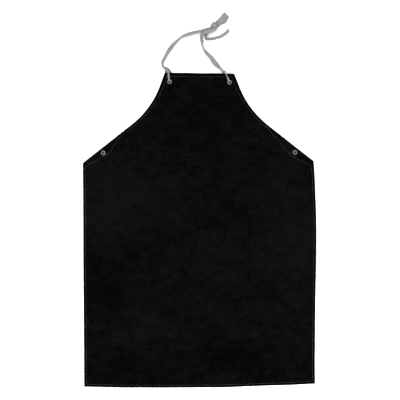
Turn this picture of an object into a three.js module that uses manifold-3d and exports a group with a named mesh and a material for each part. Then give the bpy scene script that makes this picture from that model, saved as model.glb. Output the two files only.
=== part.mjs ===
// Acid apron of black rubber-coated cloth with brass eyelets and a knotted cotton neck tape.
// It lies flat on its back: millimetres, +X to the right as seen from above, +Y to the neck, +Z up.
// The origin is the middle of the panel, on the surface that it lies on.

import * as THREE from 'three';
import { mergeVertices } from 'three/addons/utils/BufferGeometryUtils.js';
import Module from 'manifold-3d';

const wasm = await Module();
wasm.setup();

// Cloth and hems
const SHEET = 1.0;
const HEM_WIDTH = 14;
const HEM_STITCH_INSET = 8.5;
const HEM_PUFF = 0.1;
const STITCH_SINK = 0.15;
const FOLD_EDGE_INSET = 1.5;
const HEM_STEP_END = 18;
const HEM_ZONE_END = 45;
const CLEARANCE = 0.3;

// Corners of the panel, anticlockwise. Each row's edge runs on to the next row's corner.
// curve is how far from the corner the armhole starts to round; bow is the edge's outward swell,
// and bowPeak is where along the edge it is widest.
const CORNERS = [
  { name: 'bottomRight', x: 448.5, y: -596.3, curve: 0, bow: 8.6, bowPeak: 0.7, steps: 18 },
  { name: 'waistRight', x: 443.2, y: 269.1, curve: 0, bow: 0, bowPeak: 0.5, steps: 8 },
  { name: 'armholeRight', x: 187.2, y: 469.8, curve: 106, bow: 0, bowPeak: 0.5, steps: 4 },
  { name: 'bibRight', x: 134.2, y: 609.1, curve: 0, bow: 0.8, bowPeak: 0.5, steps: 8 },
  { name: 'bibLeft', x: -135.3, y: 612.3, curve: 0, bow: 0, bowPeak: 0.5, steps: 4 },
  { name: 'armholeLeft', x: -186.5, y: 471.6, curve: 104, bow: 0, bowPeak: 0.5, steps: 8 },
  { name: 'waistLeft', x: -453.5, y: 262.1, curve: 0, bow: 0, bowPeak: 0.5, steps: 18 },
  { name: 'bottomLeft', x: -448.7, y: -608.0, curve: 0, bow: 8.7, bowPeak: 0.5, steps: 24 },
];
const CURVE_STEPS = 6;
const PANEL_MIDDLE = new THREE.Vector2(0, -40);
const INNER_RINGS = [0.85, 0.7, 0.55, 0.4, 0.25, 0.1];

// Eyelets, clinched brass rings
const EYELET_PLACES = [
  { name: 'eyelet_neck_left', x: -116.8, y: 578.2, waist: false },
  { name: 'eyelet_neck_right', x: 116.0, y: 575.9, waist: false },
  { name: 'eyelet_waist_left', x: -374.5, y: 301.2, waist: true },
  { name: 'eyelet_waist_right', x: 370.6, y: 303.2, waist: true },
];
const EYELET_RADIUS = 8.8;
const EYELET_HOLE_RADIUS = 3.7;
const EYELET_BARREL_RADIUS = 4.4;
const EYELET_CROWN = 1.05;
const EYELET_ROLL_RADIUS = 7.7;
const EYELET_ROLL = 0.8;
const EYELET_SIDES = 20;
// From the outer edge of the domed flange to the hole, rise as a share of the crown
const FLANGE_SECTION = [
  { radius: EYELET_RADIUS, rise: 0 },
  { radius: EYELET_RADIUS, rise: 0.3 },
  { radius: EYELET_RADIUS - 0.8, rise: 0.8 },
  { radius: EYELET_RADIUS - 2.2, rise: 1 },
  { radius: EYELET_HOLE_RADIUS + 0.9, rise: 0.8 },
  { radius: EYELET_HOLE_RADIUS, rise: 0 },
];
// From the hole to the outer edge of the roll behind, drop as a share of the roll
const ROLL_SECTION = [
  { radius: EYELET_HOLE_RADIUS, drop: 0.3 },
  { radius: EYELET_HOLE_RADIUS + 0.6, drop: 0.8 },
  { radius: EYELET_BARREL_RADIUS + 1.2, drop: 1 },
  { radius: EYELET_ROLL_RADIUS - 0.3, drop: 0.7 },
  { radius: EYELET_ROLL_RADIUS, drop: 0 },
];
const BORE_RADIUS = 4.9;
const BORE_LENGTH = 40;

// Facings: the second layer behind each waist corner, measured along the armhole edge and into the panel.
// Its outline is straight on both sides of a bend that starts to round FACING_ROUNDING before it.
const FACING_EDGE_INSET = 2;
const FACING_DOWN_SIDE = { along: -12, into: 22 };
const FACING_LEFT = { bend: { along: 101, into: 38 }, upArmhole: { along: 190, into: 5 } };
const FACING_RIGHT = { bend: { along: 74, into: 43 }, upArmhole: { along: 240, into: 5 } };
const FACING_ROUNDING = 32;

// The cloth lies on the surface except where these soft rises lift it. along and across are the half
// sizes of a rise, turn is its direction in degrees, and flat is the part of it that is level on top.
const WAIST_LIFT = EYELET_ROLL + CLEARANCE + SHEET + CLEARANCE;
const NECK_LIFT = 4.4;
const RISES = [
  { x: -120, y: 596, along: 115, across: 90, turn: 0, flat: 0.5, height: NECK_LIFT },
  { x: 119, y: 594, along: 115, across: 90, turn: 0, flat: 0.5, height: NECK_LIFT },
  { x: -375, y: 300, along: 210, across: 115, turn: 38, flat: 0.6, height: WAIST_LIFT },
  { x: 367, y: 306, along: 275, across: 115, turn: 142, flat: 0.6, height: WAIST_LIFT },
  { x: -310, y: -600, along: 190, across: 95, turn: 98, flat: 0, height: 4.5 },
  { x: 95, y: -610, along: 210, across: 105, turn: 84, flat: 0, height: 5.5 },
  { x: 345, y: -590, along: 170, across: 90, turn: 97, flat: 0, height: 4.0 },
  { x: -450, y: -130, along: 230, across: 100, turn: 91, flat: 0, height: 4.5 },
  { x: 450, y: -70, along: 215, across: 105, turn: 89, flat: 0, height: 5.5 },
  { x: -40, y: 360, along: 190, across: 85, turn: 68, flat: 0, height: 3.5 },
];

// Neck tapes: flat cotton tape. Each row is a section along the route: lift is the height of its
// lowest point, width is how far the tape is spread, roll turns it about the route and curl bends it
// across its width, both in degrees.
const TAPE_WIDTH = 22;
const TAPE_THICKNESS = 1.1;
const TAPE_ACROSS = 5;
const STEPS_PER_ROW = 2;
const PLUNGE = 0.25;
const LEFT_TAPE = [
  { x: -130, y: 629, lift: 2.6, width: 8, roll: 0, curl: 0 },
  { x: -126, y: 622, lift: 2.9, width: 7, roll: 0, curl: 0 },
  { x: -122.5, y: 615, lift: 6.2, width: 6, roll: 0, curl: 0 },
  { x: -120.9, y: 608, lift: 7.0, width: 7, roll: 0, curl: 0 },
  { x: -120.2, y: 598, lift: 6.9, width: 8, roll: 0, curl: 0 },
  { x: -119.6, y: 589, lift: 7.3, width: 7.5, roll: 0, curl: 0 },
  { x: -117.9, y: 583.1, lift: 7.7, width: 6, roll: 0, curl: 0 },
  { x: -116.8, y: 579.7, lift: 6.4, width: 4.4, roll: 0, curl: 0 },
  { x: -116.8, y: 579, lift: 4.0, width: 4.4, roll: 0, curl: 0 },
  { x: -116.8, y: 579.8, lift: 1.6, width: 4.4, roll: 0, curl: 0 },
  { x: -116.9, y: 585.4, lift: 0.4, width: 8, roll: 0, curl: 0 },
  { x: -118, y: 594, lift: 0.4, width: 15, roll: 0, curl: 0 },
  { x: -120, y: 604, lift: 0.4, width: 21, roll: 0, curl: 0 },
  { x: -122.3, y: 613, lift: 0.4, width: 25.5, roll: 0, curl: 0 },
  { x: -125, y: 620.5, lift: 0.4, width: 22, roll: 0, curl: 0 },
  { x: -130.6, y: 629, lift: 0.4, width: 15, roll: 0, curl: 20 },
  { x: -139.8, y: 635.7, lift: 0.4, width: 11, roll: 15, curl: 160 },
  { x: -143.4, y: 645.4, lift: 0.4, width: 17, roll: 64, curl: 80 },
  { x: -141.9, y: 654.9, lift: 0.4, width: 20, roll: 57, curl: 50 },
  { x: -135.7, y: 665.8, lift: 0.4, width: 22, roll: 59, curl: 40 },
  { x: -128.8, y: 679.2, lift: 0.4, width: 22, roll: 61, curl: 40 },
  { x: -121.7, y: 692.4, lift: 0.4, width: 22, roll: 53, curl: 40 },
  { x: -113.8, y: 704.5, lift: 0.4, width: 22, roll: 50, curl: 40 },
  { x: -99.9, y: 721.2, lift: 0.4, width: 22, roll: 57, curl: 40 },
  { x: -81.6, y: 739.1, lift: 0.4, width: 22, roll: 74, curl: 70 },
  { x: -73.1, y: 747.8, lift: 0.4, width: 22, roll: 99, curl: 195 },
  { x: -62, y: 753.8, lift: 0.4, width: 22, roll: 124, curl: 80 },
  { x: -46.2, y: 760.8, lift: 0.4, width: 22, roll: 136, curl: 40 },
  { x: -23.3, y: 767.4, lift: 0.4, width: 21, roll: 136, curl: 45 },
  { x: -3.7, y: 773.1, lift: 0.5, width: 15, roll: 140, curl: 60 },
  { x: 9.1, y: 777, lift: 1.0, width: 11, roll: 158, curl: 70 },
  { x: 18, y: 779.2, lift: 2.0, width: 11, roll: 174, curl: 50 },
  { x: 28, y: 781.2, lift: 2.4, width: 11.5, roll: 180, curl: 30 },
  { x: 40, y: 783.9, lift: 2.4, width: 12, roll: 180, curl: 20 },
  { x: 52.6, y: 788.2, lift: 2.4, width: 14, roll: 180, curl: 20 },
  { x: 64.6, y: 795.4, lift: 2.4, width: 19, roll: 180, curl: 20 },
  { x: 75.2, y: 808.7, lift: 0.8, width: 24, roll: 180, curl: 20 },
  { x: 92.2, y: 820.4, lift: 0.4, width: 30, roll: 182, curl: 25 },
  { x: 101, y: 834, lift: 0.4, width: 28, roll: 184, curl: 20 },
  { x: 107.1, y: 839.1, lift: 0.4, width: 27, roll: 186, curl: 15 },
];
const RIGHT_TAPE = [
  { x: 93.5, y: 621, lift: 2.5, width: 8, roll: 0, curl: 0 },
  { x: 98.2, y: 615.5, lift: 5.0, width: 8, roll: 0, curl: 0 },
  { x: 102.6, y: 608.7, lift: 7.3, width: 6, roll: 0, curl: 0 },
  { x: 107, y: 598, lift: 6.9, width: 4.6, roll: 0, curl: 0 },
  { x: 111.3, y: 588, lift: 7.2, width: 8.5, roll: 0, curl: 0 },
  { x: 114, y: 581.7, lift: 7.5, width: 6.5, roll: 0, curl: 0 },
  { x: 115.6, y: 577.4, lift: 6.2, width: 4.4, roll: 0, curl: 0 },
  { x: 115.7, y: 576.4, lift: 4.0, width: 4.4, roll: 0, curl: 0 },
  { x: 115.4, y: 577.1, lift: 1.6, width: 4.4, roll: 0, curl: 0 },
  { x: 113.4, y: 581.8, lift: 0.4, width: 7, roll: 0, curl: 0 },
  { x: 107.5, y: 594, lift: 0.4, width: 11, roll: 0, curl: 0 },
  { x: 100, y: 606, lift: 0.4, width: 13, roll: 0, curl: 0 },
  { x: 94.7, y: 616.2, lift: 0.4, width: 11, roll: 0, curl: 0 },
  { x: 86.5, y: 626, lift: 0.4, width: 13, roll: 50, curl: 90 },
  { x: 75, y: 636.5, lift: 0.4, width: 20, roll: 36, curl: 75 },
  { x: 61.3, y: 649.9, lift: 0.4, width: 22, roll: 12, curl: 80 },
  { x: 52.6, y: 661.7, lift: 0.4, width: 22, roll: 8, curl: 128 },
  { x: 43.5, y: 672.5, lift: 0.4, width: 22, roll: -10, curl: 160 },
  { x: 31.8, y: 681.8, lift: 0.4, width: 22, roll: -30, curl: 195 },
  { x: 22.3, y: 691.7, lift: 0.4, width: 22, roll: -66, curl: 175 },
  { x: 13.4, y: 705.4, lift: 0.4, width: 22, roll: -84, curl: 50 },
  { x: 8.6, y: 716.5, lift: 0.4, width: 22, roll: -84, curl: 30 },
  { x: 8, y: 728, lift: 0.4, width: 22, roll: -70, curl: 90 },
  { x: 7.5, y: 740, lift: 0.4, width: 22, roll: -30, curl: 235 },
  { x: 6.5, y: 753, lift: 0.4, width: 21, roll: -10, curl: 215 },
  { x: 12, y: 764, lift: 2.2, width: 14, roll: 0, curl: 150 },
  { x: 19.2, y: 768, lift: 5.0, width: 12, roll: 0, curl: 60 },
  { x: 28, y: 771.6, lift: 6.1, width: 13.5, roll: 0, curl: 40 },
  { x: 39.2, y: 775.4, lift: 5.9, width: 13.5, roll: 0, curl: 40 },
  { x: 50, y: 779, lift: 5.8, width: 12, roll: 0, curl: 40 },
  { x: 59, y: 783.5, lift: 5.8, width: 12, roll: 0, curl: 30 },
  { x: 62.5, y: 790, lift: 5.8, width: 13, roll: 0, curl: 20 },
  { x: 59, y: 796, lift: 5.8, width: 16, roll: 0, curl: 10 },
  { x: 53, y: 800, lift: 5.7, width: 19, roll: 0, curl: 0 },
  { x: 53, y: 800.6, lift: 5.7, width: 20, roll: 0, curl: 0 },
  { x: 49.4, y: 802.6, lift: 4.2, width: 21, roll: 0, curl: 0 },
  { x: 48, y: 803.6, lift: 2.5, width: 21, roll: 0, curl: 0 },
  { x: 49.7, y: 802.2, lift: 0.7, width: 20, roll: 0, curl: 0 },
  { x: 55, y: 790.5, lift: 0.3, width: 12, roll: 0, curl: 0 },
  { x: 50.5, y: 783, lift: 0.3, width: 11, roll: 0, curl: 0 },
  { x: 42, y: 777, lift: 0.3, width: 11, roll: 0, curl: 0 },
  { x: 31.5, y: 770.8, lift: 0.3, width: 10, roll: 0, curl: 0 },
  { x: 24, y: 762.3, lift: 0.3, width: 8.5, roll: 10, curl: 50 },
  { x: 23.4, y: 753.8, lift: 0.3, width: 9, roll: 50, curl: 70 },
  { x: 25, y: 747.2, lift: 0.3, width: 11, roll: 52, curl: 60 },
  { x: 28.6, y: 744.8, lift: 0.3, width: 13, roll: 50, curl: 60 },
  { x: 36, y: 744.4, lift: 0.3, width: 14.5, roll: 50, curl: 60 },
  { x: 48, y: 745.6, lift: 0.3, width: 15, roll: 50, curl: 60 },
  { x: 64.2, y: 748.8, lift: 0.3, width: 15.5, roll: 51, curl: 60 },
  { x: 84.9, y: 756.4, lift: 0.3, width: 18, roll: 54, curl: 60 },
  { x: 100.2, y: 766.5, lift: 0.3, width: 20, roll: 56, curl: 55 },
  { x: 113.6, y: 779.7, lift: 0.3, width: 22, roll: 62, curl: 35 },
];

const RUBBER = { color: 0x111316, roughness: 0.62, metalness: 0 };
const BRASS = { color: 0x9a9272, roughness: 0.42, metalness: 1 };
const COTTON = { color: 0xa6a9a8, roughness: 0.92, metalness: 0 };

// Solids for cutting

function toSolid(geometry) {
  const bare = geometry.clone();
  bare.deleteAttribute('normal');
  bare.deleteAttribute('uv');
  const merged = mergeVertices(bare, 1e-3);
  return new wasm.Manifold(new wasm.Mesh({
    numProp: 3,
    vertProperties: Float32Array.from(merged.attributes.position.array),
    triVerts: Uint32Array.from(merged.index.array),
  }));
}

function toGeometry(solid) {
  const mesh = solid.getMesh();
  const geometry = new THREE.BufferGeometry();
  geometry.setAttribute('position', new THREE.BufferAttribute(mesh.vertProperties, 3));
  geometry.setIndex(new THREE.BufferAttribute(mesh.triVerts, 1));
  geometry.computeVertexNormals();
  return geometry;
}

function bore(place) {
  const cylinder = new THREE.CylinderGeometry(BORE_RADIUS, BORE_RADIUS, BORE_LENGTH, EYELET_SIDES);
  cylinder.rotateX(Math.PI / 2);
  cylinder.translate(place.x, place.y, 0);
  return toSolid(cylinder);
}

// A closed skin through rings of equal length, from the first ring to the last
function joinRings(rings, closeEnd) {
  const count = rings[0].length;
  const positions = rings.flat().flatMap((point) => [point.x, point.y, point.z]);
  const index = [];
  for (let r = 0; r + 1 < rings.length; r += 1) {
    for (let i = 0; i < count; i += 1) {
      const here = r * count + i;
      const next = r * count + ((i + 1) % count);
      index.push(here, here + count, next, next, here + count, next + count);
    }
  }
  closeEnd(index, 0, false);
  closeEnd(index, (rings.length - 1) * count, true);
  const geometry = new THREE.BufferGeometry();
  geometry.setAttribute('position', new THREE.Float32BufferAttribute(positions, 3));
  geometry.setIndex(index);
  geometry.computeVertexNormals();
  return geometry;
}

// Panel

function liftAt(x, y) {
  let lift = 0;
  for (const rise of RISES) {
    const turn = THREE.MathUtils.degToRad(rise.turn);
    const along = ((x - rise.x) * Math.cos(turn) + (y - rise.y) * Math.sin(turn)) / rise.along;
    const across = ((y - rise.y) * Math.cos(turn) - (x - rise.x) * Math.sin(turn)) / rise.across;
    const reach = Math.hypot(along, across);
    lift += rise.height * (1 - THREE.MathUtils.smoothstep(reach, rise.flat, 1));
  }
  return lift;
}

// The edge from a corner to the next, moved into the panel by an inset
function edgeLine(number, inset) {
  const from = CORNERS[number];
  const to = CORNERS[(number + 1) % CORNERS.length];
  const along = new THREE.Vector2(to.x - from.x, to.y - from.y).normalize();
  const into = new THREE.Vector2(-along.y, along.x);
  const start = new THREE.Vector2(from.x, from.y).addScaledVector(into, inset);
  return { start, along, into };
}

function cornerAt(number, inset) {
  const before = edgeLine((number + CORNERS.length - 1) % CORNERS.length, inset);
  const after = edgeLine(number, inset);
  const gap = after.start.clone().sub(before.start);
  const distance = gap.cross(after.along) / before.along.cross(after.along);
  return before.start.clone().addScaledVector(before.along, distance);
}

// Every inset gives the same number of stations, so that the rings can be joined
function outlineAt(inset) {
  const stations = [];
  const corners = CORNERS.map((_, number) => cornerAt(number, inset));
  CORNERS.forEach((corner, number) => {
    const nextNumber = (number + 1) % CORNERS.length;
    const { along, into } = edgeLine(number, inset);
    const before = edgeLine((number + CORNERS.length - 1) % CORNERS.length, inset).along;
    const start = corners[number].clone().addScaledVector(along, corner.curve);
    const end = corners[nextNumber].clone().addScaledVector(along, -CORNERS[nextNumber].curve);
    if (corner.curve > 0) {
      const curveStart = corners[number].clone().addScaledVector(before, -corner.curve);
      const curve = new THREE.QuadraticBezierCurve(curveStart, corners[number], start);
      stations.push(...curve.getPoints(CURVE_STEPS).slice(0, -1));
    }
    const skew = Math.log(0.5) / Math.log(corner.bowPeak);
    for (let step = 0; step < corner.steps; step += 1) {
      const share = step / corner.steps;
      const swell = corner.bow * Math.sin(Math.PI * share ** skew);
      stations.push(start.clone().lerp(end, share).addScaledVector(into, -swell));
    }
  });
  return stations;
}

function panelRing(inset, scale, height) {
  return outlineAt(inset).map((station) => {
    const point = station.clone().sub(PANEL_MIDDLE).multiplyScalar(scale).add(PANEL_MIDDLE);
    return new THREE.Vector3(point.x, point.y, height + liftAt(point.x, point.y));
  });
}

// Heights across the hem, from the top of the panel round the fold to its underside. The turned layer
// ends in a cut edge under the panel.
const HEM_SECTION = [
  { inset: HEM_ZONE_END, height: SHEET },
  { inset: HEM_STEP_END, height: SHEET },
  { inset: HEM_WIDTH, height: 2 * SHEET + HEM_PUFF },
  { inset: HEM_STITCH_INSET, height: 2 * SHEET - STITCH_SINK },
  { inset: FOLD_EDGE_INSET, height: 2 * SHEET + HEM_PUFF },
  { inset: 0, height: SHEET },
  { inset: FOLD_EDGE_INSET, height: 0 },
  { inset: HEM_WIDTH, height: 0 },
  { inset: HEM_WIDTH, height: SHEET - HEM_PUFF },
  { inset: HEM_STEP_END, height: 0 },
  { inset: HEM_ZONE_END, height: 0 },
];

function panelGeometry() {
  const outwards = [...INNER_RINGS].reverse();
  const rings = [
    ...outwards.map((scale) => panelRing(HEM_ZONE_END, scale, SHEET)),
    ...HEM_SECTION.map((row) => panelRing(row.inset, 1, row.height)),
    ...INNER_RINGS.map((scale) => panelRing(HEM_ZONE_END, scale, 0)),
  ];
  const count = rings[0].length;
  const skin = joinRings(rings, (index, first, last) => {
    for (let i = 1; i + 1 < count; i += 1) {
      index.push(first, first + (last ? i + 1 : i), first + (last ? i : i + 1));
    }
  });
  let solid = toSolid(skin);
  for (const place of EYELET_PLACES) {
    solid = solid.subtract(bore(place));
  }
  return toGeometry(solid);
}

// Facings

function facingGeometry(waistNumber, armholeNumber, place, shape) {
  const corner = cornerAt(waistNumber, FACING_EDGE_INSET);
  const along = cornerAt(armholeNumber, FACING_EDGE_INSET).sub(corner).normalize();
  const panelIsLeft = waistNumber < armholeNumber;
  const into = new THREE.Vector2(-along.y, along.x).multiplyScalar(panelIsLeft ? 1 : -1);
  const at = (spot) => corner.clone().addScaledVector(along, spot.along).addScaledVector(into, spot.into);
  const side = at(FACING_DOWN_SIDE);
  const bend = at(shape.bend);
  const armhole = at(shape.upArmhole);
  const bendStart = bend.clone().add(side.clone().sub(bend).setLength(FACING_ROUNDING));
  const bendEnd = bend.clone().add(armhole.clone().sub(bend).setLength(FACING_ROUNDING));
  const edge = at({ along: shape.upArmhole.along, into: 0 });
  const outline = new THREE.Shape();
  outline.moveTo(corner.x, corner.y);
  outline.lineTo(side.x, side.y);
  outline.lineTo(bendStart.x, bendStart.y);
  outline.quadraticCurveTo(bend.x, bend.y, bendEnd.x, bendEnd.y);
  outline.lineTo(armhole.x, armhole.y);
  outline.lineTo(edge.x, edge.y);
  const layer = new THREE.ExtrudeGeometry(outline, { depth: SHEET, bevelEnabled: false });
  layer.translate(0, 0, WAIST_LIFT - CLEARANCE - SHEET);
  return toGeometry(toSolid(layer).subtract(bore(place)));
}

// Eyelets: a domed flange in front, a barrel through the cloth and a rolled edge behind

function eyeletGeometry(place) {
  const layersBehind = place.waist ? SHEET + CLEARANCE : 0;
  const clothTop = place.waist ? WAIST_LIFT + 2 * SHEET + HEM_PUFF : NECK_LIFT + SHEET;
  const clothBottom = (place.waist ? WAIST_LIFT : NECK_LIFT) - layersBehind;
  const flange = clothTop + CLEARANCE;
  const roll = clothBottom - CLEARANCE;
  const profile = [
    new THREE.Vector2(EYELET_BARREL_RADIUS, roll),
    new THREE.Vector2(EYELET_BARREL_RADIUS, flange),
    ...FLANGE_SECTION.map((row) => new THREE.Vector2(row.radius, flange + row.rise * EYELET_CROWN)),
    ...ROLL_SECTION.map((row) => new THREE.Vector2(row.radius, roll - row.drop * EYELET_ROLL)),
    new THREE.Vector2(EYELET_BARREL_RADIUS, roll),
  ];
  const ring = new THREE.LatheGeometry(profile, EYELET_SIDES);
  ring.rotateX(Math.PI / 2);
  ring.translate(place.x, place.y, 0);
  return ring;
}

// Neck tapes

// The level direction across the route. Where the route plunges it keeps the direction before.
function levelSide(tangent, before) {
  const level = new THREE.Vector3(-tangent.y, tangent.x, 0);
  if (level.length() < PLUNGE) {
    return before.clone().addScaledVector(tangent, -before.dot(tangent)).normalize();
  }
  const reversed = before !== null && level.dot(before) < 0;
  return level.multiplyScalar(reversed ? -1 : 1).normalize();
}

function tapeGeometry(rows) {
  const steps = (rows.length - 1) * STEPS_PER_ROW;
  const spots = rows.map((row) => new THREE.Vector3(row.x, row.y, row.lift));
  const forms = rows.map((row) => new THREE.Vector3(row.width, row.roll, row.curl));
  const route = new THREE.CatmullRomCurve3(spots);
  const form = new THREE.CatmullRomCurve3(forms);
  const rings = [];
  let side = null;
  for (let step = 0; step <= steps; step += 1) {
    const share = step / steps;
    const place = route.getPoint(share);
    const tangent = route.getTangent(share);
    side = levelSide(tangent, side);
    const face = tangent.clone().cross(side);
    const { x: width, y: roll, z: curl } = form.getPoint(share);
    const ring = tapeSection(width, roll, curl).map((spot) => {
      const offset = side.clone().multiplyScalar(spot.x).addScaledVector(face, spot.y);
      return offset.add(place);
    });
    const lowest = Math.min(...ring.map((point) => point.z));
    ring.forEach((point) => {
      point.z += place.z - lowest;
    });
    rings.push(ring);
  }
  return joinRings(rings, (index, first, last) => {
    for (let i = 0; i + 1 < TAPE_ACROSS; i += 1) {
      const near = first + i;
      const far = first + 2 * TAPE_ACROSS - 1 - i;
      const faces = [[near, near + 1, far], [near + 1, far - 1, far]];
      faces.forEach(([a, b, c]) => index.push(...(last ? [a, c, b] : [a, b, c])));
    }
  });
}

// One section of tape: a thin strip bent across its width, thicker where it is gathered
function tapeSection(width, roll, curl) {
  const thickness = TAPE_THICKNESS * Math.sqrt(TAPE_WIDTH / width);
  const bend = Math.max(THREE.MathUtils.degToRad(curl), 0.01);
  const radius = width / bend;
  const turn = THREE.MathUtils.degToRad(roll);
  const middle = radius * (1 - Math.sin(bend / 2) / (bend / 2));
  const spots = [];
  for (const face of [-0.5, 0.5]) {
    for (let i = 0; i < TAPE_ACROSS; i += 1) {
      const share = i / (TAPE_ACROSS - 1) - 0.5;
      const angle = bend * (face < 0 ? -share : share);
      const reach = radius - face * thickness;
      const spot = new THREE.Vector2(reach * Math.sin(angle), radius - reach * Math.cos(angle) - middle);
      spots.push(spot.rotateAround(new THREE.Vector2(), turn));
    }
  }
  return spots;
}

// Assembly

function piece(name, geometry, finish) {
  const mesh = new THREE.Mesh(geometry, new THREE.MeshStandardMaterial(finish));
  mesh.name = name;
  return mesh;
}

const cornerNumber = (name) => CORNERS.findIndex((corner) => corner.name === name);
const eyeletPlace = (name) => EYELET_PLACES.find((place) => place.name === name);

const apron = new THREE.Group();
apron.add(piece('panel', panelGeometry(), RUBBER));
const facingLeft = facingGeometry(
  cornerNumber('waistLeft'), cornerNumber('armholeLeft'), eyeletPlace('eyelet_waist_left'),
  FACING_LEFT);
apron.add(piece('waist_facing_left', facingLeft, RUBBER));
const facingRight = facingGeometry(
  cornerNumber('waistRight'), cornerNumber('armholeRight'), eyeletPlace('eyelet_waist_right'),
  FACING_RIGHT);
apron.add(piece('waist_facing_right', facingRight, RUBBER));
for (const place of EYELET_PLACES) {
  apron.add(piece(place.name, eyeletGeometry(place), BRASS));
}
apron.add(piece('neck_tape_left', tapeGeometry(LEFT_TAPE), COTTON));
apron.add(piece('neck_tape_right', tapeGeometry(RIGHT_TAPE), COTTON));

export default apron;
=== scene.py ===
# Looks of the acid apron: black rubber-coated cloth lying flat on its back, with turned and stitched hems,
# brass eyelets and a cotton neck tape tied in a knot. Metres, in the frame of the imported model.

import math
import random
from itertools import accumulate
from typing import NamedTuple

import bpy
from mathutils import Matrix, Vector, noise
from mathutils.bvhtree import BVHTree
from mathutils.geometry import delaunay_2d_cdt


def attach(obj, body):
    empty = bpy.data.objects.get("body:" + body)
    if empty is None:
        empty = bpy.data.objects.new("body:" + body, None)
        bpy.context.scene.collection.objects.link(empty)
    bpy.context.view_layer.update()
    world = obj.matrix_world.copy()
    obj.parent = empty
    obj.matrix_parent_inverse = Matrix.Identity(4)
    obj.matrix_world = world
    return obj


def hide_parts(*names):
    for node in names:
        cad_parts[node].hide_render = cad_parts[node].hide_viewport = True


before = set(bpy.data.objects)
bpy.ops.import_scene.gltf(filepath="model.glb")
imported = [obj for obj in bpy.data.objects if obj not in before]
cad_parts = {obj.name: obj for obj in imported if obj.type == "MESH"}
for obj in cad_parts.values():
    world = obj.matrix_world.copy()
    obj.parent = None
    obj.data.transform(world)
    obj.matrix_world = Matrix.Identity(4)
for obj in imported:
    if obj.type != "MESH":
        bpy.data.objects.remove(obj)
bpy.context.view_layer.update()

UP = Vector((0.0, 0.0, 1.0))
DOWN = Vector((0.0, 0.0, -1.0))

# Camera, straight above the apron
VIEW_WIDTH = 1.5572
VIEW_CENTRE = (0.0016, 0.1181)
LENS = 100.0
SENSOR = 36.0

# Cloth and hems
SHEET = 0.0010
FOLD_EDGE_INSET = 0.0015
HEM_PUFF = 0.0001
STITCH_SINK = 0.00015
SIDE_STITCH_INSET = 0.0085
BIB_STITCH_INSET = 0.0130
BIB_STITCH_FROM_Y = 0.46
BIB_STITCH_TO_Y = 0.60
HEM_BEYOND_STITCH = 0.0055
HEM_STEP = 0.0040
HEM_ZONE_END = 0.045
RIM_MARGIN = 0.001
RIM_SHADE = 1.2
RIM_FADE_START = 0.060
RIM_FADE_END = 0.110
CLEARANCE = 0.0003
STATION_SPACING = 0.0042
CURVE_STATIONS = 40
INNER_SPACING = 0.010
EDGE_WANDER = 0.0004
EDGE_WANDER_SCALE = 9.0
PUCKER = 0.00016
PUCKER_SCALE = 95.0
PUCKER_ACROSS_SCALE = 60.0
PUCKER_START = (0.0005, 0.003)
PUCKER_END_PAST_STITCH = (0.004, 0.009)
RIPPLE = 0.0007
RIPPLE_SCALE = 11.0
RIPPLE_START = 0.9
RIPPLE_FULL = 1.4
RIPPLE_OCTAVES = 3
PATCH_REACH = 1.2
TRIANGLES_INSIDE = 1
TRIANGLE_EPSILON = 1e-7

# Angles in degrees beyond which an edge stays sharp
THREAD_CREASE = 80
TAPE_CREASE = 60
CLOTH_CREASE = 50
BRASS_CREASE = 50
CUT_CREASE = 30


class Corner(NamedTuple):
    """A corner of the panel, whose edge runs anticlockwise to the next corner."""

    x: float
    y: float
    curve: float = 0
    bow: float = 0
    bow_peak: float = 0.5


CORNERS = {
    "bottom_right": Corner(0.4485, -0.5963, 0, 0.0086, 0.7),
    "waist_right": Corner(0.4432, 0.2691),
    "armhole_right": Corner(0.1872, 0.4698, 0.106),
    "bib_right": Corner(0.1342, 0.6091, 0, 0.0008),
    "bib_left": Corner(-0.1353, 0.6123),
    "armhole_left": Corner(-0.1865, 0.4716, 0.104),
    "waist_left": Corner(-0.4535, 0.2621),
    "bottom_left": Corner(-0.4487, -0.6080, 0, 0.0087),
}


class Oval(NamedTuple):
    """A soft oval on the cloth: its middle, half sizes, strength, direction in degrees and level share."""

    x: float
    y: float
    along: float
    across: float
    strength: float
    turn: float = 0
    flat: float = 0

    def reach(self, x, y):
        """How far a place is from the middle, in half sizes."""
        turn = math.radians(self.turn)
        along = ((x - self.x) * math.cos(turn) + (y - self.y) * math.sin(turn)) / self.along
        across = ((y - self.y) * math.cos(turn) - (x - self.x) * math.sin(turn)) / self.across
        return math.hypot(along, across)

    def effect(self, x, y, end=1.0):
        """The strength at a place: full in the level part, and none beyond the end."""
        return self.strength * (1.0 - smoothstep(self.reach(x, y), self.flat, end))


NECK_LIFT = 0.0044
WAIST_LIFT = 0.0024

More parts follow.
